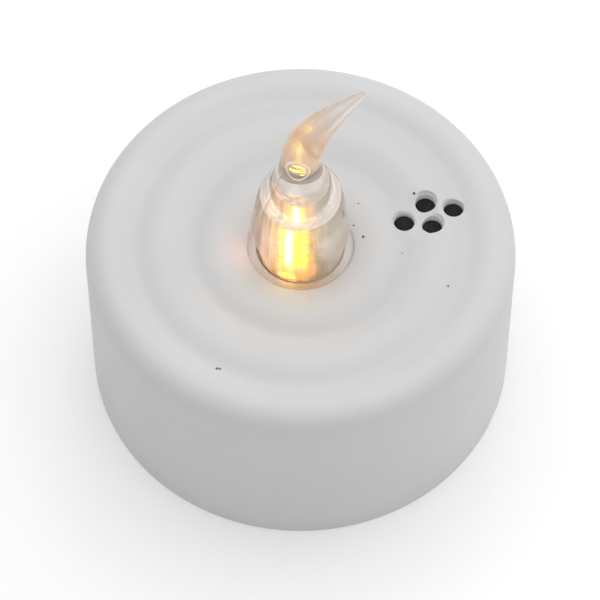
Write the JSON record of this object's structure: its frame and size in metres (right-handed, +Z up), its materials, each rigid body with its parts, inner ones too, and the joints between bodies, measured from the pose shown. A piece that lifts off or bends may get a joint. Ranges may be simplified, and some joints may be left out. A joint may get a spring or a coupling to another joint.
{
  "type": "flameless led tea light",
  "caption": "Round white battery tea light with a rippled top, a curved clear flame lit from inside, sound holes, and a slide switch and coin cell door underneath.",
  "frame": {"origin": "centre of the ring that the candle stands on", "axes": "+Z up along the shell's axis, +X from the flame towards the middle of the sound holes, -Y towards the battery door's hinge"},
  "size_m": [0.0375, 0.0374, 0.0366],
  "materials": {
    "shell_plastic": "fine satin white polypropylene",
    "base_plastic": "satin white polypropylene",
    "lens_clear": "clear polished polystyrene",
    "screw_steel": "zinc plated steel",
    "cell_steel": "nickel plated steel",
    "gasket_plastic": "natural nylon",
    "contact_metal": "nickel plated spring bronze",
    "board_laminate": "paper laminate with solder mask",
    "chip_resin": "black epoxy drop",
    "resistor_body": "glazed ceramic chip",
    "capacitor_sleeve": "heat shrunk sleeve over an aluminium can",
    "transistor_body": "black moulding",
    "led_epoxy": "amber clear epoxy",
    "led_die": "glowing chip",
    "lead_steel": "tinned steel",
    "mic_can_metal": "drawn aluminium",
    "mic_board": "glass laminate",
    "mic_felt": "black felt",
    "wire_red": "soft vinyl insulation",
    "wire_black": "soft vinyl insulation",
    "switch_metal": "tinned steel",
    "switch_phenolic": "brown phenolic",
    "lever_plastic": "black acetal",
    "solder": "bright solder"
  },
  "bodies": {
    "candle_body": {"outer_shell": "shell_plastic", "flame_lens": "lens_clear", "base_plate": "base_plastic", "cell_can": "cell_steel", "cell_gasket": "gasket_plastic", "cell_cap": "cell_steel", "positive_contact": "contact_metal", "negative_contact": "contact_metal", "circuit_board": "board_laminate", "board_screws": "screw_steel", "control_chip": "chip_resin", "chip_resistors": "resistor_body", "timing_capacitor": "capacitor_sleeve", "drive_transistor": "transistor_body", "led_body": "led_epoxy", "led_chip": "led_die", "led_leads": "lead_steel", "microphone_can": "mic_can_metal", "microphone_backplate": "mic_board", "microphone_felt": "mic_felt", "microphone_wire_red": "wire_red", "microphone_wire_black": "wire_black", "switch_housing": "switch_metal", "switch_base": "switch_phenolic", "switch_pins": "contact_metal", "solder_joints": "solder"},
    "battery_door": {"battery_door": "base_plastic"},
    "door_screw": {"door_screw": "screw_steel"},
    "switch_slider": {"switch_slider": "lever_plastic", "switch_wiper": "contact_metal"}
  },
  "joints": [
    {"name": "door_hinge", "type": "hinge", "parent": "candle_body", "child": "battery_door", "pos_m": [0, -0.0151, 0.00155], "axis": [-1, 0, 0], "range_deg": [0, 85]},
    {"name": "screw_travel", "type": "slide", "parent": "battery_door", "child": "door_screw", "axis": [0, 0, -1], "range_m": [0, 0.0033]},
    {"name": "switch_slide", "type": "slide", "parent": "candle_body", "child": "switch_slider", "axis": [1, 0, 0], "range_m": [0, 0.002]}
  ]
}
